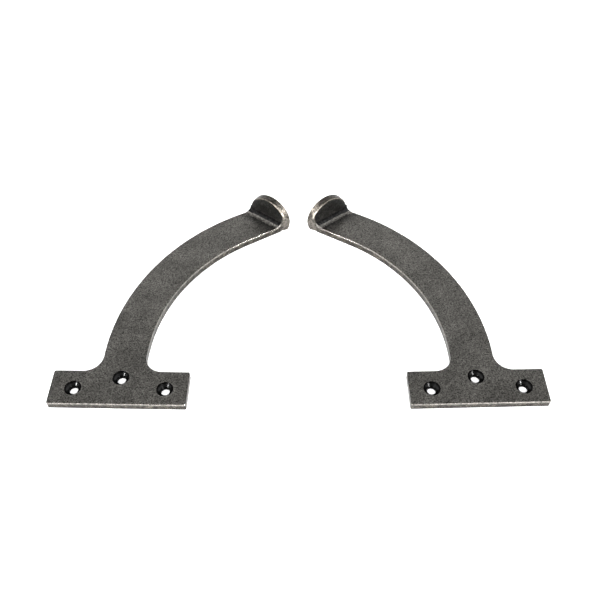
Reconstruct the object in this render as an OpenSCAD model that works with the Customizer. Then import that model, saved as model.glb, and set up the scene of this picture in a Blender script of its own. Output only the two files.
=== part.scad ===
// Handed pair of quadrant holdback stays: a T-shaped screw foot, a flat
// quadrant arm and a round stop head standing up on the end of the arm.
// The left stay is drawn first; the right stay is its mirror image in X = 0.
// Frame: X across the pair, Y away from the feet, Z up from the mounting face.

/* [Foot] */
// Length of the screw foot
foot_l = 70.4; // [60:0.1:90]
// Width of the screw foot
foot_w = 20; // [19:0.5:22]
// Thickness of the foot and the arm
plate_t = 4.3; // [3:0.1:6]
// Rounding of the foot's corners, seen from above
foot_corner_r = 0.8; // [0.4:0.1:3]

/* [Screw holes] */
// Diameter of the screw hole below the countersink
hole_d = 4.5; // [3:0.1:5]
// Diameter of the countersink at the top face
sink_d = 8.7; // [6.5:0.1:9]
// Depth of the countersink
sink_depth = 2.1; // [1:0.1:2.5]
// Distance between the two end holes
hole_pitch = 47; // [44:0.5:50]
// Distance of the end holes from the front edge
end_hole_y = 9.5; // [8:0.5:11]
// Distance of the middle hole from the front edge
mid_hole_y = 16; // [13:0.5:19]

/* [Arm] */
// Radius of the arm's centreline
arm_r = 110.2; // [95:0.05:130]
// Width of the arm
arm_w = 22.5; // [18:0.1:26]
// Distance from the front edge to the start of the arc
arm_start_y = 30; // [30:1:40]
// Angle along the arc after which the inner edge runs straight
inner_straight_a = 58.5; // [50:0.5:62]
// Radius of the corner between foot and arm on the outer side
outer_root_r = 9.2; // [4:0.2:9.6]
// Radius of the corner between foot and arm on the inner side
inner_root_r = 9; // [4:0.2:9.6]

/* [Stop head] */
// Radius of the round stop head
head_r = 13.5; // [12:0.05:15]
// Thickness of the stop head
head_t = 4.6; // [3:0.1:6]
// Height of the head's centre over the mounting face
head_z = 7; // [6:0.25:9]
// Distance of the head's centre from the arm's outer edge, along the root line
head_u = 14.1; // [12:0.05:15]
// Angle between the head and the foot's long side
head_a = 35; // [30:1:40]
// Distance from the arc's centre to the head's inner face
head_dist = 60.6; // [56:0.05:64]
// Rounding of the head's edges
head_edge_r = 0.7; // [0.4:0.05:1.4]
// Lean of the facet dressed across the head's lower front corner
facet_lean = 9.5; // [4:0.5:20]

/* [Weld bead] */
// Leg of the fillet weld at the head's root
bead_leg = 3.3; // [1.5:0.1:4]
// Leg of the fuller stretch where the weld starts, on the arm's outer side
bead_start_leg = 4.3; // [4:0.1:6]
// Length of that stretch along the root line
bead_start_u = 2.6; // [1:0.1:6]

/* [Pair] */
// Distance from the pair's centre line to the foot's outer front corner
half_span = 126.8; // [126:0.1:150]
// Angle by which each stay is turned outwards
toe_a = 1.25; // [0:0.05:3]

/* [Hidden] */
$fn = 96;
eps = 0.01;
foot_c = foot_l / 2;                         // middle of the foot
arc_c = [foot_c + arm_r, arm_start_y];       // centre of the quadrant arc
r_out = arm_r + arm_w / 2;
r_in = arm_r - arm_w / 2;
hu = [cos(head_a), -sin(head_a)];            // along the root line
hn = [sin(head_a), cos(head_a)];             // across the head, away from the arm
// Point where the outer edge meets the head's inner face
root = arc_c + hn * head_dist - hu * sqrt(r_out * r_out - head_dist * head_dist);
// The inner edge leaves the arc at this point, in this direction
ie_p = arc_c + r_in * [-cos(inner_straight_a), sin(inner_straight_a)];
ie_d = [sin(inner_straight_a), cos(inner_straight_a)];
// Point where the straight inner edge meets the head's inner face
ie_s = (head_dist - (ie_p - arc_c) * hn) / (ie_d * hn);
ie_e = ie_p + ie_d * ie_s;
ie_u = (ie_e - root) * hu;                   // its distance along the root line
// Spans of the turned stay in Y, which set the frame's origin
y_lo = -foot_l * sin(toe_a);
yc = root + hu * (head_u - head_r + head_edge_r) + hn * (head_t - head_edge_r);
y_hi = cos(toe_a) * yc[1] - sin(toe_a) * yc[0] + head_edge_r;
y_mid = (y_lo + y_hi) / 2;

// Puts a left stay's piece into the pair's frame
module left_place()
  translate([-half_span, -y_mid, 0]) rotate([0, 0, -toe_a]) children();

// The mirror image of a left stay's piece
module right_place()
  mirror([1, 0, 0]) left_place() children();

// Axes of the head: X along the root line, Y away from the arm, Z up
module at_root()
  translate([root[0], root[1], 0]) rotate([0, 0, -head_a]) children();

// Foot, seen from above
module foot_outline() {
  r = foot_corner_r;
  translate([r, 0]) square([foot_l - 2 * r, foot_w]);
  translate([0, r]) square([foot_l, foot_w - 2 * r]);
  for (x = [r, foot_l - r], y = [r, foot_w - r])
    translate([x, y]) circle(r = r);
}

// Filled corner of radius r, with its sharp point at the origin
module root_fillet(r) {
  difference() {
    translate([-eps, -eps]) square([r + eps, r + eps]);
    translate([r, r]) circle(r = r);
  }
}

// Arm, seen from above; it ends on the head's inner face
module arm_outline(past = 0) {
  // straight start out of the foot
  translate([foot_c - arm_w / 2, foot_w - 1])
    square([arm_w, arm_start_y - foot_w + 1 + eps]);
  intersection() {
    difference() {
      translate(arc_c) circle(r = r_out, $fn = 360);
      // the inner edge: the arc, then a straight line
      difference() {
        translate(arc_c) circle(r = r_in, $fn = 360);
        beyond_straight_start();
      }
      inside_straight_edge();
    }
    // from the start of the arc up to the head
    polygon([
      arc_c, arc_c + [-2 * r_out, 0], arc_c + [-2 * r_out, r_out],
      root - hu * 60 + hn * past, ie_e + hu * 60 + hn * past
    ]);
  }
}

// Everything further round the arc than the start of the straight edge
module beyond_straight_start() {
  n = [-ie_d[1], ie_d[0]];
  polygon([ie_p - n * 200, ie_p + n * 200,
           ie_p + n * 200 + ie_d * 200, ie_p - n * 200 + ie_d * 200]);
}

// Everything on the hollow side of the straight inner edge
module inside_straight_edge() {
  n = [ie_d[1], -ie_d[0]];
  polygon([ie_p, ie_p + ie_d * 60, ie_p + ie_d * 60 + n * 160,
           ie_p - ie_d * 20 + n * 160]);
}

// One countersunk screw hole
module screw_hole() {
  translate([0, 0, -1]) cylinder(d = hole_d, h = plate_t + 2, $fn = 64);
  // the countersink's cone runs on past the top face
  translate([0, 0, plate_t - sink_depth])
    cylinder(d1 = hole_d, d2 = hole_d + (sink_d - hole_d) * (sink_depth + 1) / sink_depth,
             h = sink_depth + 1, $fn = 64);
}

// Foot and arm cut as one blank
module stay_plate() {
  difference() {
    linear_extrude(height = plate_t) {
      foot_outline();
      arm_outline();
      translate([foot_c + arm_w / 2, foot_w]) root_fillet(inner_root_r);
      translate([foot_c - arm_w / 2, foot_w]) mirror([1, 0]) root_fillet(outer_root_r);
    }
    for (s = [-1, 1])
      translate([foot_c + s * hole_pitch / 2, end_hole_y, 0]) screw_hole();
    translate([foot_c, mid_hole_y, 0]) screw_hole();
  }
}

// Everything outside the facet that blends the arm's inner side into the rim
module outside_facet()
  at_root() translate([ie_u - 0.2, 0.5, 0]) rotate([0, 0, -33])
    rotate([0, facet_lean, 0]) translate([0, -60, -60]) cube([120, 120, 120]);

// Everything outside the second facet, which ends the weld on the arm's side
module outside_weld_end()
  at_root() translate([ie_u - 0.9, 0.2, 0]) rotate([0, 0, -30])
    rotate([0, facet_lean, 0]) translate([0, -60, -60]) cube([120, 120, 120]);

// Round stop head: a disc on edge, cut flat at the mounting face
module stop_head() {
  e = head_edge_r;
  difference() {
    at_root() translate([head_u, 0, head_z]) rotate([-90, 0, 0])
      rotate_extrude($fn = 128) {
        square([head_r - e, head_t]);
        translate([0, e]) square([head_r, head_t - 2 * e]);
        translate([head_r - e, e]) circle(r = e, $fn = 48);
        translate([head_r - e, head_t - e]) circle(r = e, $fn = 48);
      }
    at_root() translate([-20, -20, -60]) cube([80, 60, 60]);
    outside_facet();
  }
}

// A run of hollow fillet with leg g, standing on Z = 0 against Y = 0
module hollow_fillet(g, len) {
  rotate([90, 0, 90]) linear_extrude(height = len)
    difference() {
      translate([-g, 0]) square([g, g]);
      translate([-g, g]) circle(r = g, $fn = 64);
    }
}

// Hollow fillet weld along the head's root, fuller where it starts
module weld_bead() {
  g = bead_leg;
  difference() {
    intersection() {
      at_root() translate([-10, 0, plate_t]) {
        hollow_fillet(g, 60);
        hollow_fillet(bead_start_leg, 10 + bead_start_u);
      }
      union() {
        linear_extrude(height = 40) arm_outline();
        at_root() translate([ie_u - 2, -g, 0]) cube([8, g, 40]);
      }
    }
    outside_weld_end();
  }
}

module left_stay_plate() color([0.36, 0.35, 0.34]) left_place() stay_plate();
module left_stop_head() color([0.42, 0.41, 0.40]) left_place() stop_head();
module left_weld_bead() color([0.52, 0.51, 0.50]) left_place() weld_bead();
module right_stay_plate() color([0.36, 0.35, 0.34]) right_place() stay_plate();
module right_stop_head() color([0.42, 0.41, 0.40]) right_place() stop_head();
module right_weld_bead() color([0.52, 0.51, 0.50]) right_place() weld_bead();

left_stay_plate();
left_stop_head();
left_weld_bead();
right_stay_plate();
right_stop_head();
right_weld_bead();
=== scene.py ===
import math
import bpy
import bmesh
import numpy as np
from mathutils import Matrix, Vector, noise
from mathutils.geometry import delaunay_2d_cdt

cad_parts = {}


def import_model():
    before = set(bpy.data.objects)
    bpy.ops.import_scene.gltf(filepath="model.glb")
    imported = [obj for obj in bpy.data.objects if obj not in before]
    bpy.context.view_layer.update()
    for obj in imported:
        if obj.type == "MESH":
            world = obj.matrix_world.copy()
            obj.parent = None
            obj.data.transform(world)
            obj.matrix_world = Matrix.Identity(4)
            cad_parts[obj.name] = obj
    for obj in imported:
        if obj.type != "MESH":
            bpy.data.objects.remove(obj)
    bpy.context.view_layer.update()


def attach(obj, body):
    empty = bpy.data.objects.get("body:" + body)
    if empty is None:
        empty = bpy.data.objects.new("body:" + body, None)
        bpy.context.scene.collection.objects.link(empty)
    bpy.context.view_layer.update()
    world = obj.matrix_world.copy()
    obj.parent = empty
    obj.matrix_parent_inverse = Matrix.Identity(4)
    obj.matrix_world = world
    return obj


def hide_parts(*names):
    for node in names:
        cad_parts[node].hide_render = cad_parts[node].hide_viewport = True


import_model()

# ---------------------------------------------------------------- dimensions
# The same driving dimensions as part.scad, in millimetres.
FOOT_L, FOOT_W, T, FOOT_R = 70.4, 20.0, 4.3, 0.8
HOLE_R, SINK_R, SINK_D = 2.25, 4.35, 2.1
HOLES = ((11.7, 9.5), (35.2, 16.0), (58.7, 9.5))
ARM_R, ARM_W, ARM_Y, STRAIGHT_A = 110.2, 22.5, 30.0, math.radians(58.5)
OUT_R, IN_R = 9.2, 9.0
HEAD_R, HEAD_T, HEAD_Z, HEAD_U, HEAD_A = 13.5, 4.6, 7.0, 14.1, math.radians(35)
HEAD_DIST, HEAD_E = 60.6, 0.7
BEAD, BEAD_START = 3.3, 4.3
HALF_SPAN, TOE = 126.8, math.radians(1.25)

FC = FOOT_L / 2
ARC = Vector((FC + ARM_R, ARM_Y))
R_OUT, R_IN = ARM_R + ARM_W / 2, ARM_R - ARM_W / 2
HU = Vector((math.cos(HEAD_A), -math.sin(HEAD_A)))
HN = Vector((math.sin(HEAD_A), math.cos(HEAD_A)))
ROOT = ARC + HN * HEAD_DIST - HU * math.sqrt(R_OUT ** 2 - HEAD_DIST ** 2)
IE_P = ARC + R_IN * Vector((-math.cos(STRAIGHT_A), math.sin(STRAIGHT_A)))
IE_D = Vector((math.sin(STRAIGHT_A), math.cos(STRAIGHT_A)))
IE_E = IE_P + IE_D * ((HEAD_DIST - (IE_P - ARC).dot(HN)) / IE_D.dot(HN))
U_E = (IE_E - ROOT).dot(HU)
Y_LO = -FOOT_L * math.sin(TOE)
_yc = ROOT + HU * (HEAD_U - HEAD_R + HEAD_E) + HN * (HEAD_T - HEAD_E)
Y_MID = (Y_LO + math.cos(TOE) * _yc.y - math.sin(TOE) * _yc.x + HEAD_E) / 2


def world(p, side):
    """A left stay's own millimetres to the frame's metres; the right stay is mirrored."""
    x = -HALF_SPAN + p[0] * math.cos(TOE) + p[1] * math.sin(TOE)
    y = -Y_MID - p[0] * math.sin(TOE) + p[1] * math.cos(TOE)
    return Vector(((x if side == "left" else -x) / 1000, y / 1000, p[2] / 1000))


def at_root(u, n, z):
    q = ROOT + HU * u + HN * n
    return (q.x, q.y, z)


def from_root(p):
    d = Vector((p[0], p[1])) - ROOT
    return d.dot(HU), d.dot(HN)


def facet(u, n, turn, lean):
    """A point and the outward normal of one of the planes dressed across the corner."""
    c, s = math.cos(math.radians(turn)), math.sin(math.radians(turn))
    cl, sl = math.cos(math.radians(lean)), math.sin(math.radians(lean))
    h = HU * c + HN * s
    return Vector(at_root(u, n, 0.0)), Vector((h.x * cl, h.y * cl, -sl))


def fbm(p, scale, seed, octaves=3):
    v, a, s = 0.0, 1.0, 0.0
    q = Vector(p) * scale + Vector((seed * 17.3, seed * 5.1, seed * 9.7))
    for _ in range(octaves):
        v += a * noise.noise(q)
        s += a
        q = q * 2.03
        a *= 0.5
    return v / s


def smooth01(t):
    t = min(1.0, max(0.0, t))
    return t * t * (3 - 2 * t)


FACETS = (facet(U_E - 0.2, 0.5, -33.0, 9.5), facet(U_E - 0.9, 0.2, -30.0, 9.5))


# ---------------------------------------------------------------- mesh helpers
def slice_off(bm, co, no, keep_gap=0.0):
    """Removes what lies outside a plane and closes the cut."""
    res = bmesh.ops.bisect_plane(bm, geom=bm.verts[:] + bm.edges[:] + bm.faces[:],
                                 plane_co=co - no * keep_gap, plane_no=no, clear_outer=True)
    cut = [g for g in res["geom_cut"] if isinstance(g, bmesh.types.BMEdge)]
    if cut:
        bmesh.ops.triangle_fill(bm, use_beauty=True, use_dissolve=False, edges=cut, normal=no)


def reskin(bm, voxel, smooth):
    """One even, slightly rounded skin over closed shapes that may overlap."""
    me = bpy.data.meshes.new("tmp")
    for v in bm.verts:
        v.co = v.co / 1000
    bm.to_mesh(me)
    bm.free()
    tmp = bpy.data.objects.new("tmp", me)
    bpy.context.scene.collection.objects.link(tmp)
    rm = tmp.modifiers.new("r", "REMESH")
    rm.mode = "VOXEL"
    rm.voxel_size = voxel / 1000
    sm = tmp.modifiers.new("s", "SMOOTH")
    sm.factor, sm.iterations = 0.5, smooth
    dg = bpy.context.evaluated_depsgraph_get()
    out = bpy.data.meshes.new_from_object(tmp.evaluated_get(dg))
    bpy.data.objects.remove(tmp)
    bpy.data.meshes.remove(me)
    bm = bmesh.new()
    bm.from_mesh(out)
    bpy.data.meshes.remove(out)
    for v in bm.verts:
        v.co = v.co * 1000
    bm.normal_update()
    return bm


def finish_mesh(name, bm, side, mats):
    """Turns a bmesh in a left stay's millimetres into an object of the frame."""
    for v in bm.verts:
        v.co = world(v.co, side)
    if side == "right":
        bmesh.ops.reverse_faces(bm, faces=bm.faces[:])
    me = bpy.data.meshes.new(name)
    bm.to_mesh(me)
    bm.free()
    for m in mats:
        me.materials.append(m)
    me.shade_smooth()
    ob = bpy.data.objects.new(name, me)
    bpy.context.scene.collection.objects.link(ob)
    return ob


def outline_points(step=0.7):
    """The blank's outline, counter-clockwise, as points."""
    pts = []

    def line(a, b, st=step):
        a, b = Vector(a), Vector(b)
        n = max(1, round((b - a).length / st))
        pts.extend(a.lerp(b, i / n) for i in range(n))

    def arc(c, r, a0, a1, st=step):
        n = max(3, round(abs(math.radians(a1 - a0)) * r / st))
        for i in range(n):
            a = math.radians(a0 + (a1 - a0) * i / n)
            pts.append(Vector((c[0] + r * math.cos(a), c[1] + r * math.sin(a))))

    r = FOOT_R
    xr, xl = FC + ARM_W / 2, FC - ARM_W / 2
    line((r, 0), (FOOT_L - r, 0))
    arc((FOOT_L - r, r), r, -90, 0, 0.25)
    line((FOOT_L, r), (FOOT_L, FOOT_W - r))
    arc((FOOT_L - r, FOOT_W - r), r, 0, 90, 0.25)
    line((FOOT_L - r, FOOT_W), (xr + IN_R, FOOT_W))
    arc((xr + IN_R, FOOT_W + IN_R), IN_R, 270, 180, 0.45)
    line((xr, FOOT_W + IN_R), (xr, ARM_Y))
    arc(ARC, R_IN, 180, 180 - math.degrees(STRAIGHT_A))
    line(IE_P, IE_E)
    line(IE_E, ROOT)
    fr = math.degrees(math.atan2(ROOT.y - ARC.y, ROOT.x - ARC.x))
    arc(ARC, R_OUT, fr, 180)
    line((xl, ARM_Y), (xl, FOOT_W + OUT_R))
    arc((xl - OUT_R, FOOT_W + OUT_R), OUT_R, 0, -90, 0.45)
    line((xl - OUT_R, FOOT_W), (r, FOOT_W))
    arc((r, FOOT_W - r), r, 90, 180, 0.25)
    line((0, FOOT_W - r), (0, r))
    arc((r, r), r, 180, 270, 0.25)
    return pts


def inward(pts):
    """Mitred inward directions of a counter-clockwise loop."""
    out = []
    n = len(pts)
    for i in range(n):
        a = (pts[i] - pts[i - 1]).normalized()
        b = (pts[(i + 1) % n] - pts[i]).normalized()
        na, nb = Vector((-a.y, a.x)), Vector((-b.y, b.x))
        m = (na + nb).normalized()
        out.append(m / max(0.55, m.dot(na)))
    return out


def inside(P, loop):
    """Which of the points P lie inside the loop, and how far they are from it."""
    L = np.array([(p[0], p[1]) for p in loop])
    A, B = L, np.roll(L, -1, axis=0)
    inn = np.zeros(len(P), bool)
    dist = np.full(len(P), 1e9)
    for a, b in zip(A, B):
        c = (a[1] > P[:, 1]) != (b[1] > P[:, 1])
        if a[1] != b[1]:
            xi = (b[0] - a[0]) * (P[:, 1] - a[1]) / (b[1] - a[1]) + a[0]
            inn ^= c & (P[:, 0] < xi)
        d = b - a
        t = np.clip(((P - a) @ d) / max(1e-12, d @ d), 0, 1)
        q = a + t[:, None] * d
        dist = np.minimum(dist, np.hypot(P[:, 0] - q[:, 0], P[:, 1] - q[:, 1]))
    return inn, dist


def fill(bm, rings, pitch, z_of, wear_of, layer, flip, mat=0):
    """Fills the flat space between loops of vertices with an even mesh."""
    loops = [[(v.co.x, v.co.y) for v in r] for r in rings]
    verts, edges, own = [], [], []
    for r, lp in zip(rings, loops):
        s = len(verts)
        verts += [Vector(p) for p in lp]
        own += list(r)
        edges += [(s + i, s + (i + 1) % len(lp)) for i in range(len(lp))]
    lo = np.min(np.array(loops[0]), axis=0)
    hi = np.max(np.array(loops[0]), axis=0)
    gx = np.arange(lo[0], hi[0], pitch)
    gy = np.arange(lo[1], hi[1], pitch * 0.866)
    P = np.array([(x + (pitch / 2 if j % 2 else 0), y) for j, y in enumerate(gy) for x in gx])
    inn, d = inside(P, loops[0])
    keep = inn & (d > pitch * 0.55)
    for lp in loops[1:]:
        i2, d2 = inside(P, lp)
        keep &= ~i2 & (d2 > pitch * 0.55)
        d = np.minimum(d, d2)
    P, d = P[keep], d[keep]
    base = len(verts)
    verts += [Vector(p) for p in P]
    ov, _, of, orig, _, _ = delaunay_2d_cdt(verts, edges, [], 4, 1e-5)
    discs = []
    for lp in loops[1:]:
        c = np.mean(np.array(lp), axis=0)
        discs.append((c[0], c[1], math.hypot(lp[0][0] - c[0], lp[0][1] - c[1])))
    made = []
    for co, o in zip(ov, orig):
        k = o[0] if o else None
        if k is not None and k < base:
            made.append(own[k])
        else:
            dd = d[k - base] if k is not None else 0.0
            v = bm.verts.new((co.x, co.y, z_of(co.x, co.y, dd)))
            v[layer] = wear_of(co.x, co.y, dd)
            made.append(v)
    for f in of:
        vs = [made[i] for i in f]
        cx = sum(ov[i].x for i in f) / len(f)
        cy = sum(ov[i].y for i in f) / len(f)
        if any(math.hypot(cx - hx, cy - hy) < hr * 0.998 for hx, hy, hr in discs):
            continue
        if len(set(vs)) < 3:
            continue
        a, b, c = (v.co for v in vs[:3])
        up = (b.x - a.x) * (c.y - a.y) - (b.y - a.y) * (c.x - a.x) > 0
        if up == flip:
            vs.reverse()
        face = bm.faces.new(vs)
        face.material_index = mat


def bridge(bm, a, b, mat=0):
    """Quads from ring a to ring b, which lies above or further in."""
    n = len(a)
    for i in range(n):
        j = (i + 1) % n
        f = bm.faces.new((a[i], a[j], b[j], b[i]))
        f.material_index = mat


# ---------------------------------------------------------------- the pieces
def plate(side, mats):
    seed = 1 if side == "left" else 2
    bm = bmesh.new()
    wear_and_sheen = bm.verts.layers.float.new("wear_and_sheen")
    painted_shade = bm.verts.layers.float.new("painted_shade")
    base = outline_points()
    nrm = inward(base)
    # a hand-dressed edge: the outline wanders by less than a tenth of a millimetre
    pts = [p + m * (0.02 + 0.03 * fbm((p.x, p.y, 0), 0.09, seed)) for p, m in zip(base, nrm)]
    nrm = inward(pts)
    # edges rubbed by hands and curtains are brighter than the others, and those facing the front also carry a painted
    # highlight where they face the light; near the weld they are dulled by painted shade, the reflection of the dark
    # head
    edge_rub_and_sheen = [0.03 + 0.97 * min(1.0, max(0.0, m.y)) ** 0.7 * (1 - 0.6 * smooth01((from_root(p)[1] + 15) / 9))
           for p, m in zip(pts, nrm)]
    ra = [0.13 + 0.21 * min(1.0, r * 2) + 0.07 * fbm((p.x, p.y, 3), 0.16, seed) for p, r in zip(pts, edge_rub_and_sheen)]

    def ring(off, z, w, wob=0.0):
        out = []
        for i, (p, m) in enumerate(zip(pts, nrm)):
            zi = z(i) if callable(z) else z
            o = off(i) + (wob * (0.7 + fbm((p.x, p.y, zi * 2), 0.7, seed + 5)) if wob else 0.0)
            q = p + m * o
            v = bm.verts.new((q.x, q.y, zi))
            # arris brightness: bare metal where rubbed, with a painted highlight on the edges facing the light
            v[wear_and_sheen] = w * edge_rub_and_sheen[i] if w > 0.3 else w
            out.append(v)
        return out

    rings = [
        ring(lambda i: 0.30, 0.0, 0.0),
        ring(lambda i: 0.14, 0.0, 0.0),
        ring(lambda i: 0.04, 0.04, 0.2),
        ring(lambda i: 0.0, 0.16, 0.2),
        ring(lambda i: 0.0, 0.75, 0.03, 0.08),
        ring(lambda i: 0.0, 1.5, 0.0, 0.10),
        ring(lambda i: 0.0, 2.3, 0.0, 0.10),
        ring(lambda i: 0.0, 3.0, 0.04, 0.09),
        ring(lambda i: 0.0, lambda i: T - ra[i] - 0.15, 0.31, 0.03),
        ring(lambda i: 0.0, lambda i: T - ra[i], 0.7),
        ring(lambda i: ra[i] * 0.134, lambda i: T - ra[i] * 0.5, 1.0),
        ring(lambda i: ra[i] * 0.5, lambda i: T - ra[i] * 0.134, 0.9),
        ring(lambda i: ra[i], T, 0.32),
        ring(lambda i: ra[i] + 0.12, T, 0.0),
    ]
    for a, b in zip(rings, rings[1:]):
        bridge(bm, a, b)

    m_seg = 72

    def circ(c, r, z, w):
        out = []
        for i in range(m_seg):
            a = 2 * math.pi * i / m_seg
            v = bm.verts.new((c[0] + r * math.cos(a), c[1] + r * math.sin(a), z))
            # the mouth's far lip is the one that catches tools
            v[wear_and_sheen] = w * (0.35 + 0.65 * smooth01(0.5 + 0.6 * math.sin(a)))
            out.append(v)
        return out

    tops, bots = [], []
    for c in HOLES:
        prof = [
            (SINK_R + 0.10, T, 0.0, 0), (SINK_R + 0.04, T - 0.01, 0.12, 0),
            (SINK_R + 0.00, T - 0.04, 0.20, 0), (SINK_R - 0.05, T - 0.09, 0.10, 1),
            (SINK_R - 0.15, T - 0.19, 0.0, 1), (SINK_R - 1.0, T - 1.05, 0.0, 1),
            (HOLE_R + 0.35, T - SINK_D + 0.32, 0.0, 1), (HOLE_R + 0.06, T - SINK_D + 0.05, 0.0, 1),
            (HOLE_R, T - SINK_D - 0.08, 0.0, 1), (HOLE_R, 0.95, 0.0, 1),
            (HOLE_R, 0.22, 0.0, 1), (HOLE_R + 0.16, 0.0, 0.0, 0), (HOLE_R + 0.5, 0.0, 0.0, 0)]
        rr = [circ(c, r, z, w) for r, z, w, _ in prof]
        for k, (a, b) in enumerate(zip(rr, rr[1:])):
            for i in range(m_seg):
                j = (i + 1) % m_seg
                f = bm.faces.new((a[j], a[i], b[i], b[j]))
                f.material_index = prof[k + 1][3] if k < 10 else 0
        tops.append(rr[0])
        bots.append(rr[-1])

    def top_z(x, y, d):
        f = smooth01(d / 2.5)
        return T + f * (0.030 * fbm((x, y, 0), 0.10, seed) + 0.010 * fbm((x, y, 5), 0.45, seed + 1, 2))

    fill(bm, [rings[-1]] + tops, 1.15, top_z, lambda x, y, d: 0.0, wear_and_sheen, False)
    fill(bm, [rings[0]] + bots, 3.0, lambda x, y, d: 0.0, lambda x, y, d: 0.1, wear_and_sheen, True)
    # painted shade: the flanks darken toward the floor, and the arrises facing away from the light are darkened
    for k, row in enumerate(rings):
        for i, v in enumerate(row):
            if 2 <= k <= 5:
                v[painted_shade] = (0.64, 0.58, 0.42, 0.18)[k - 2]
            elif 8 <= k <= 12:
                v[painted_shade] = (0.25, 0.62, 0.85, 0.80, 0.45)[k - 8] * (1 - smooth01(edge_rub_and_sheen[i] / 0.25))
    for v in bm.verts:
        u, n = from_root(v.co)
        if n > -14 and v.co.z > T - 0.02:
            # a painted reflection of the dark head darkens the last stretch of the arm
            edge = smooth01((-n - 3.0) / 7.0 + 0.25 * fbm(v.co, 0.3, seed + 9))
            v[painted_shade] = max(v[painted_shade], 0.82 * (1 - edge) * (1 - min(1.0, v[wear_and_sheen] * 1.5)))
    bmesh.ops.recalc_face_normals(bm, faces=bm.faces[:])
    flank = bm.verts.layers.float.new("flank")
    bm.normal_update()
    for v in bm.verts:
        v[flank] = smooth01((0.85 - abs(v.normal.z)) / 0.5)
    return finish_mesh(f"{side}_stay_plate_finished", bm, side, mats)


def head(side, mats):
    seed = 3 if side == "left" else 4
    bm = bmesh.new()
    e, R, t = HEAD_E, HEAD_R, HEAD_T
    prof = [(4.0, 0.0), (8.0, 0.0), (R - e, 0.0)]
    prof += [(R - e + e * math.sin(a), e - e * math.cos(a)) for a in (math.radians(15 * k) for k in range(1, 7))]
    prof += [(R - e + e * math.cos(a), t - e + e * math.sin(a)) for a in (math.radians(15 * k) for k in range(7))]
    prof += [(8.0, t), (4.0, t)]
    seg = 192
    rows = []
    for r, n in prof:
        row = []
        for i in range(seg):
            a = 2 * math.pi * i / seg
            row.append(bm.verts.new(at_root(HEAD_U + r * math.cos(a), n, HEAD_Z + r * math.sin(a))))
        rows.append(row)
    c0 = bm.verts.new(at_root(HEAD_U, 0.0, HEAD_Z))
    c1 = bm.verts.new(at_root(HEAD_U, t, HEAD_Z))
    for a, b in zip(rows, rows[1:]):
        bridge(bm, a, b)
    for i in range(seg):
        j = (i + 1) % seg
        bm.faces.new((c0, rows[0][j], rows[0][i]))
        bm.faces.new((c1, rows[-1][i], rows[-1][j]))
    bmesh.ops.recalc_face_normals(bm, faces=bm.faces[:])
    slice_off(bm, Vector((0, 0, 0)), Vector((0, 0, -1)), 0.0)
    slice_off(bm, *FACETS[0], 0.0)
    bm = reskin(bm, 0.24, 4)
    wear_and_sheen = bm.verts.layers.float.new("wear_and_sheen")
    painted_shade = bm.verts.layers.float.new("painted_shade")
    flank = bm.verts.layers.float.new("flank")
    for v in bm.verts:
        u, n = from_root(v.co)
        z = v.co.z
        r = math.hypot(u - HEAD_U, z - HEAD_Z)
        rim = smooth01((r - (R - e - 0.35)) / 0.6)
        cut = (v.co - FACETS[0][0]).dot(FACETS[0][1])
        rim = max(rim, smooth01((cut + 0.7) / 0.5) if u > HEAD_U else 0.0)
        # the rim is linished bright where it stands proud; its brightness around the rim is a painted highlight where
        # it faces the light, duller on top and behind as painted shade
        a = math.degrees(math.atan2(z - HEAD_Z, u - HEAD_U))
        face_on = smooth01((78 - a) / 34) if -90 < a < 180 else 0.0
        arris = math.exp(-((r - (R - 0.25)) ** 2 + (n - 0.2) ** 2) / 0.12)
        low = smooth01((38 - a) / 22) if -90 < a < 180 else 0.0
        v[wear_and_sheen] = rim * (0.09 + 0.56 * face_on * (1 - 0.78 * low)) + 0.75 * arris * (0.30 + 0.70 * face_on)
        v[flank] = max(rim, smooth01(abs(v.normal.z) / 0.3))
        # painted shade: the rim is dulled behind
        if a > 150 or a < -90:
            v[wear_and_sheen] *= 0.15
        # painted shade in the corner above the weld, with a little over the whole inner face
        k = (1 - smooth01((n - 0.1) / 0.5)) * (1 - rim)
        v[painted_shade] = k * (0.85 * (1 - smooth01((z - 7.0) / 1.3)) + 0.12)
        g = 0.030 * fbm(v.co, 0.22, seed) + 0.018 * fbm(v.co, 0.9, seed + 3, 2) - 0.035
        v.co += v.normal * g
        v.co.z = max(0.0, v.co.z)
    return finish_mesh(f"{side}_stop_head_finished", bm, side, mats)


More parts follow.
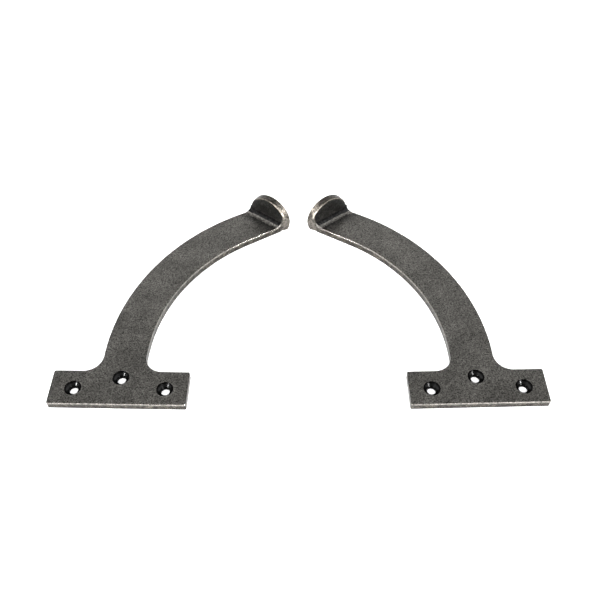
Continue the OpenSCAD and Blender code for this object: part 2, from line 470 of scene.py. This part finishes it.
def bead(side, mats):
    """The fillet weld, its feather edges sunk into plate and head."""
    seed = 5 if side == "left" else 6
    bm = bmesh.new()
    k = 0.5

    def back(n):
        return math.sqrt(R_OUT ** 2 - HEAD_DIST ** 2) - math.sqrt(R_OUT ** 2 - (HEAD_DIST + n) ** 2)

    arc_n = 14
    stations = 80
    rows = []
    for s in range(stations + 1):
        f = (s / stations) ** 1.25
        u_mid = (U_E + 4.5) * f
        g = BEAD + (BEAD_START - BEAD) * (1 - smooth01((u_mid - 0.8) / 3.4))
        prof = [(-g - k, T - 0.10), (-g - k, T - 1.2), (0.8, T - 1.2), (0.8, T + g + k), (0.10, T + g + k)]
        prof += [(-g + g * math.cos(a), T + g - g * math.sin(a))
                 for a in (math.radians(90 * i / arc_n) for i in range(arc_n + 1))]
        row = []
        for n, z in prof:
            nn = min(n, 0.0)
            u0 = back(nn) + 0.10
            u = u0 + (U_E + 4.5 - u0) * f
            # the run of the weld: a slow swell and the ripples of its passes
            d = Vector((n + g + 0.4, z - T - g - 0.4))
            d = d.normalized() if -g < n < 0.1 and z > T - 0.05 else Vector((0, 0))
            h = 0.16 * fbm((u, n * 0.3, z * 0.3), 0.30, seed, 2) + 0.05 * math.sin(u * 3.1 + 1.1 * n + seed)
            row.append(bm.verts.new(at_root(u, n - d.x * h, z - d.y * h)))
        rows.append(row)
    m = len(prof)
    for a, b in zip(rows, rows[1:]):
        for i in range(m):
            j = (i + 1) % m
            bm.faces.new((a[i], b[i], b[j], a[j]))
    bm.faces.new(rows[0])
    bm.faces.new(list(reversed(rows[-1])))
    bmesh.ops.recalc_face_normals(bm, faces=bm.faces[:])
    slice_off(bm, *FACETS[1], 0.03)
    bm = reskin(bm, 0.15, 4)
    wear_and_sheen = bm.verts.layers.float.new("wear_and_sheen")
    painted_shade = bm.verts.layers.float.new("painted_shade")
    for v in bm.verts:
        u, n = from_root(v.co)
        z = v.co.z
        cut = (v.co - FACETS[1][0]).dot(FACETS[1][1])
        # the dressed end face is bare metal with a painted highlight where it catches the light; the band along the
        # bead is a painted highlight on its curve
        end = smooth01((cut + 0.45) / 0.35)
        more = 0.8 * (1 - smooth01((u - 0.8) / 4.5))
        lit = smooth01((n + 3.6 + more) / 0.5) * (1 - smooth01((n + 1.35 + 0.6 * more) / 0.5))
        v[wear_and_sheen] = (0.085 + 0.03 * (1 - smooth01((u - 1.5) / 6))) * lit * (0.6 + 0.8 * fbm(v.co, 0.9, seed)) + 0.62 * end
        # painted shade along the top of the bead, in the crease against the head
        v[painted_shade] = (1 - end) * smooth01((n + 1.35 + 0.6 * more) / 0.4)
    return finish_mesh(f"{side}_weld_bead_finished", bm, side, mats)


# ---------------------------------------------------------------- materials
def node_tree(name):
    m = bpy.data.materials.new(name)
    m.use_nodes = True
    nt = m.node_tree
    nt.nodes.clear()
    out = nt.nodes.new("ShaderNodeOutputMaterial")
    sh = nt.nodes.new("ShaderNodeBsdfPrincipled")
    nt.links.new(sh.outputs[0], out.inputs[0])
    return m, nt, sh


class Net:
    """A few shorthands for building node trees."""

    def __init__(self, nt):
        self.nt = nt
        tc = nt.nodes.new("ShaderNodeTexCoord")
        mp = nt.nodes.new("ShaderNodeMapping")
        mp.inputs["Scale"].default_value = (1000, 1000, 1000)
        nt.links.new(tc.outputs["Object"], mp.inputs["Vector"])
        self.mp, self.co = mp, mp.outputs[0]

    def link(self, a, b):
        self.nt.links.new(a, b)

    def noise(self, scale, detail=4.0, rough=0.55, dist=0.0, co=None):
        n = self.nt.nodes.new("ShaderNodeTexNoise")
        n.inputs["Scale"].default_value = scale
        n.inputs["Detail"].default_value = detail
        n.inputs["Roughness"].default_value = rough
        n.inputs["Distortion"].default_value = dist
        self.link(co or self.co, n.inputs["Vector"])
        return n.outputs["Fac"]

    def ramp(self, fac, stops):
        r = self.nt.nodes.new("ShaderNodeValToRGB")
        el = r.color_ramp.elements
        while len(el) < len(stops):
            el.new(0.5)
        for e, (p, c) in zip(el, stops):
            e.position = p
            e.color = c if len(c) == 4 else (*c, 1)
        self.link(fac, r.inputs[0])
        return r.outputs[0]

    def rng(self, fac, a, b, c, d):
        r = self.nt.nodes.new("ShaderNodeMapRange")
        r.inputs[1].default_value, r.inputs[2].default_value = a, b
        r.inputs[3].default_value, r.inputs[4].default_value = c, d
        self.link(fac, r.inputs[0])
        return r.outputs[0]

    def math(self, op, a, b):
        n = self.nt.nodes.new("ShaderNodeMath")
        n.operation = op
        n.use_clamp = op in ("ADD", "SUBTRACT")
        for k, v in enumerate((a, b)):
            if isinstance(v, (int, float)):
                n.inputs[k].default_value = v
            else:
                self.link(v, n.inputs[k])
        return n.outputs[0]

    def mix(self, fac, a, b, mode="MIX"):
        n = self.nt.nodes.new("ShaderNodeMix")
        n.data_type, n.blend_type = "RGBA", mode
        for k, v in ((0, fac), (6, a), (7, b)):
            if isinstance(v, (int, float)):
                n.inputs[k].default_value = v
            elif isinstance(v, tuple):
                n.inputs[k].default_value = (*v, 1)
            else:
                self.link(v, n.inputs[k])
        return n.outputs[2]

    def bump(self, h, strength, dist, prev=None):
        n = self.nt.nodes.new("ShaderNodeBump")
        n.inputs["Strength"].default_value = strength
        n.inputs["Distance"].default_value = dist
        self.link(h, n.inputs["Height"])
        if prev is not None:
            self.link(prev, n.inputs["Normal"])
        return n.outputs[0]

    def attr(self, name):
        n = self.nt.nodes.new("ShaderNodeAttribute")
        n.attribute_name = name
        return n.outputs["Fac"]


def pewter(name, seed, dark, mid, light, bare, wear_and_sheen_gain=1.0, rough=(0.34, 0.5)):
    m, nt, sh = node_tree(name)
    N = Net(nt)
    N.mp.inputs["Location"].default_value = (seed * 31.7, seed * 13.3, seed * 7.9)
    big = N.noise(0.06, 4, 0.6, 0.4)
    med = N.noise(0.50, 6, 0.66, 0.2)
    fine = N.noise(1.3, 3, 0.7)
    blend = N.math("ADD", N.math("MULTIPLY", big, 0.45), N.math("MULTIPLY", med, 0.55))
    col = N.ramp(blend, [(0.38, dark), (0.5, mid), (0.62, light)])
    grain = N.rng(fine, 0.37, 0.63, 0.36, 1.68)
    gcol = nt.nodes.new("ShaderNodeCombineColor")
    for k in range(3):
        N.link(grain, gcol.inputs[k])
    col = N.mix(1.0, col, gcol.outputs[0], "MULTIPLY")
    # the sawn flanks keep a browner, blotchier scale than the rolled faces
    fl = N.attr("flank")
    scale = N.ramp(N.noise(0.55, 5, 0.75, 0.5), [(0.41, (0.11, 0.10, 0.08)), (0.5, (0.33, 0.308, 0.268)),
                                                 (0.59, (0.86, 0.81, 0.72))])
    col = N.mix(fl, col, N.mix(1.0, col, scale, "MULTIPLY"))
    # dark pits and stains left by the patina
    pit = N.rng(N.noise(0.95, 3, 0.6), 0.62, 0.68, 0.0, 0.8)
    col = N.mix(pit, col, tuple(c * 0.35 for c in dark))
    # metal rubbed bright along the arrises, with painted highlights mixed in where edges and rims face the light
    w = N.attr("wear_and_sheen")
    scuff = N.rng(N.noise(0.75, 6, 0.75, 0.3), 0.38, 0.62, 0.12, 1.65)
    wf = N.math("MULTIPLY", N.math("MULTIPLY", w, scuff), wear_and_sheen_gain)
    wf = N.math("ADD", wf, 0.0)
    col = N.mix(wf, col, bare)
    # painted shade: the colour is drawn toward black where the shade attribute is set
    so = N.math("MULTIPLY", N.attr("painted_shade"), N.rng(N.noise(0.9, 5, 0.65), 0.3, 0.7, 0.85, 1.15))
    col = N.mix(N.math("ADD", so, 0.0), col, (0.0022, 0.0022, 0.0024))
    N.link(col, sh.inputs["Base Color"])
    # the painted shade is a dull black: it hides the metal's own sheen
    N.link(N.rng(so, 0.0, 1.0, 0.9, 0.35), sh.inputs["Metallic"])
    N.link(N.rng(so, 0.0, 1.0, 0.5, 0.08), sh.inputs["Specular IOR Level"])
    ro = N.rng(N.math("ADD", N.math("MULTIPLY", med, 0.6), N.math("MULTIPLY", fine, 0.4)), 0.35, 0.65, *rough)
    ro = N.math("SUBTRACT", ro, N.math("MULTIPLY", wf, 0.10))
    N.link(ro, sh.inputs["Roughness"])
    b = N.bump(fine, 0.35, 0.00008)
    b = N.bump(N.noise(0.6, 4, 0.6), 0.30, 0.00012, b)
    N.link(b, sh.inputs["Normal"])
    return m


def lacquer(name, seed):
    """Black paint left in the countersinks."""
    m, nt, sh = node_tree(name)
    N = Net(nt)
    N.mp.inputs["Location"].default_value = (seed * 11.7, seed * 3.3, 0)
    f = N.noise(0.9, 5, 0.6)
    N.link(N.ramp(f, [(0.35, (0.0003, 0.0003, 0.0003)), (0.7, (0.0022, 0.0022, 0.0020))]), sh.inputs["Base Color"])
    N.link(N.rng(f, 0.3, 0.7, 0.15, 0.21), sh.inputs["Roughness"])
    sh.inputs["Metallic"].default_value = 0.0
    # the paint lies thick and glossy low in the cone, thin and dull toward the mouth
    sep = nt.nodes.new("ShaderNodeSeparateXYZ")
    N.link(N.co, sep.inputs[0])
    z = sep.outputs[2]
    wet = N.math("MULTIPLY", N.rng(z, T - SINK_D + 0.1, T - SINK_D + 0.5, 0.0, 1.0),
                 N.rng(z, T - 1.05, T - 0.6, 1.0, 0.0))
    N.link(N.rng(wet, 0.0, 1.0, 0.02, 0.26), sh.inputs["Specular IOR Level"])
    N.link(N.bump(N.noise(0.7, 3), 0.06, 0.00002), sh.inputs["Normal"])
    return m


DARK, MID, LIGHT = (0.077, 0.074, 0.0675), (0.113, 0.109, 0.100), (0.156, 0.150, 0.138)
# the head's pewter is a darker copy of the plate's: painted shade for the dark surroundings its inner face reflects
SHADED_HEAD_DARK, SHADED_HEAD_MID, SHADED_HEAD_LIGHT = (0.013, 0.0127, 0.0118), (0.025, 0.0243, 0.0227), (0.052, 0.0505, 0.047)
BARE, WARM = (0.53, 0.50, 0.46), (0.52, 0.47, 0.405)
sides = ("left", "right")
for i, side in enumerate(sides):
    body = f"{side}_stay"
    pm = pewter(f"{side}_plate_pewter", 1 + i, DARK, MID, LIGHT, BARE, 0.8, (0.26, 0.40))
    hm = pewter(f"{side}_head_shaded_pewter", 4 + i, SHADED_HEAD_DARK, SHADED_HEAD_MID, SHADED_HEAD_LIGHT, WARM, 0.95)
    wm = pewter(f"{side}_weld_pewter", 7 + i, DARK, MID, LIGHT, BARE, 0.6)
    cm = lacquer(f"{side}_sink_lacquer", 10 + i)
    for ob, node, slot in (
        (plate(side, [pm, cm]), f"{side}_stay_plate", "plate_steel"),
        (head(side, [hm]), f"{side}_stop_head", "head_steel"),
        (bead(side, [wm]), f"{side}_weld_bead", "weld_steel"),
    ):
        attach(ob, body)
        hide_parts(node)

# ---------------------------------------------------------------- stage
me = bpy.data.meshes.new("floor")
bm = bmesh.new()
bmesh.ops.create_grid(bm, x_segments=8, y_segments=8, size=3.0)
bm.to_mesh(me)
bm.free()
floor = bpy.data.objects.new("floor", me)
floor.location.z = -0.0002
bpy.context.scene.collection.objects.link(floor)
m, nt, sh = node_tree("pale_floor")
sh.inputs["Base Color"].default_value = (0.93, 0.93, 0.93, 1)
sh.inputs["Roughness"].default_value = 0.9
sh.inputs["Specular IOR Level"].default_value = 0.1
sh.inputs["Emission Color"].default_value = (1, 1, 1, 1)
sh.inputs["Emission Strength"].default_value = 0.62
me.materials.append(m)

w = bpy.data.worlds.new("studio")
bpy.context.scene.world = w
w.use_nodes = True
bg = w.node_tree.nodes["Background"]
wt = w.node_tree
tc = wt.nodes.new("ShaderNodeTexCoord")
sx = wt.nodes.new("ShaderNodeSeparateXYZ")
wt.links.new(tc.outputs["Generated"], sx.inputs[0])


def sky(axis, stops):
    r = wt.nodes.new("ShaderNodeValToRGB")
    wt.links.new(sx.outputs[axis], r.inputs[0])
    el = r.color_ramp.elements
    while len(el) < len(stops):
        el.new(0.5)
    for e, (p, v) in zip(el, stops):
        e.position, e.color = p, (v, v, v, 1)
    return r.outputs[0]


# the tent is brightest low down behind the stays, dim overhead and towards the camera
up = sky("Z", ((0.0, 1.0), (0.60, 1.0), (0.84, 0.31), (1.0, 0.17)))
add = wt.nodes.new("ShaderNodeMath")
add.operation = "MULTIPLY_ADD"
wt.links.new(sx.outputs["Y"], add.inputs[0])
add.inputs[1].default_value = 0.5
add.inputs[2].default_value = 0.5
front = wt.nodes.new("ShaderNodeValToRGB")
wt.links.new(add.outputs[0], front.inputs[0])
for e, (p, v) in zip(front.color_ramp.elements, ((0.08, 0.22), (0.48, 1.0))):
    e.position, e.color = p, (v, v, v, 1)
mul = wt.nodes.new("ShaderNodeMix")
mul.data_type, mul.blend_type = "RGBA", "MULTIPLY"
mul.inputs[0].default_value = 1.0
wt.links.new(up, mul.inputs[6])
wt.links.new(front.outputs[0], mul.inputs[7])
wt.links.new(mul.outputs[2], bg.inputs[0])
bg.inputs[1].default_value = 1.42


def spot(name, loc, target, power, angle, radius):
    L = bpy.data.lights.new(name, "SPOT")
    L.energy = power
    L.spot_size = math.radians(angle)
    L.spot_blend = 0.25
    L.shadow_soft_size = radius
    ob = bpy.data.objects.new(name, L)
    ob.location = loc
    ob.rotation_euler = (Vector(target) - Vector(loc)).to_track_quat("-Z", "Y").to_euler()
    bpy.context.scene.collection.objects.link(ob)


def area(name, loc, target, size, power):
    L = bpy.data.lights.new(name, "AREA")
    L.shape = "RECTANGLE"
    L.size, L.size_y = size
    L.energy = power
    ob = bpy.data.objects.new(name, L)
    ob.location = loc
    ob.rotation_euler = (Vector(target) - Vector(loc)).to_track_quat("-Z", "Y").to_euler()
    bpy.context.scene.collection.objects.link(ob)
    return ob


area("front_soft", (0.0, -0.55, 1.25), (0, 0, 0), (1.5, 0.35), 10)
area("front_low", (0.0, -1.3, 0.22), (0, 0, 0.0), (1.6, 0.22), 3)
spot("key_left", (-0.700, -0.630, 0.315), (-0.095, -0.045, 0), 300, 11, 0.25)
spot("key_right", (0.700, -0.630, 0.315), (0.095, -0.045, 0), 300, 11, 0.25)
spot("rim_left", (-1.1, 0.06, 0.38), (0.012, 0.068, 0.01), 7, 4.5, 0.07)
spot("rim_right", (1.1, 0.06, 0.38), (-0.012, 0.068, 0.01), 7, 4.5, 0.07)

cam = bpy.data.cameras.new("camera")
cam.sensor_width = 36
cam.lens = 741.40 / 600 * 36
cam.shift_x = -0.00347
cam.shift_y = 0.00100
cam.clip_start = 0.01
cam.clip_end = 20
co = bpy.data.objects.new("camera", cam)
co.matrix_world = (Matrix.Translation((0.0027, -0.26543, 0.32412))
                   @ Matrix.Rotation(math.radians(0.154), 4, "Z")
                   @ Matrix.Rotation(math.radians(90 - 50.710), 4, "X")
                   @ Matrix.Rotation(math.radians(-0.316), 4, "Z"))
bpy.context.scene.collection.objects.link(co)
bpy.context.scene.camera = co
bpy.context.scene.view_settings.view_transform = "Standard"
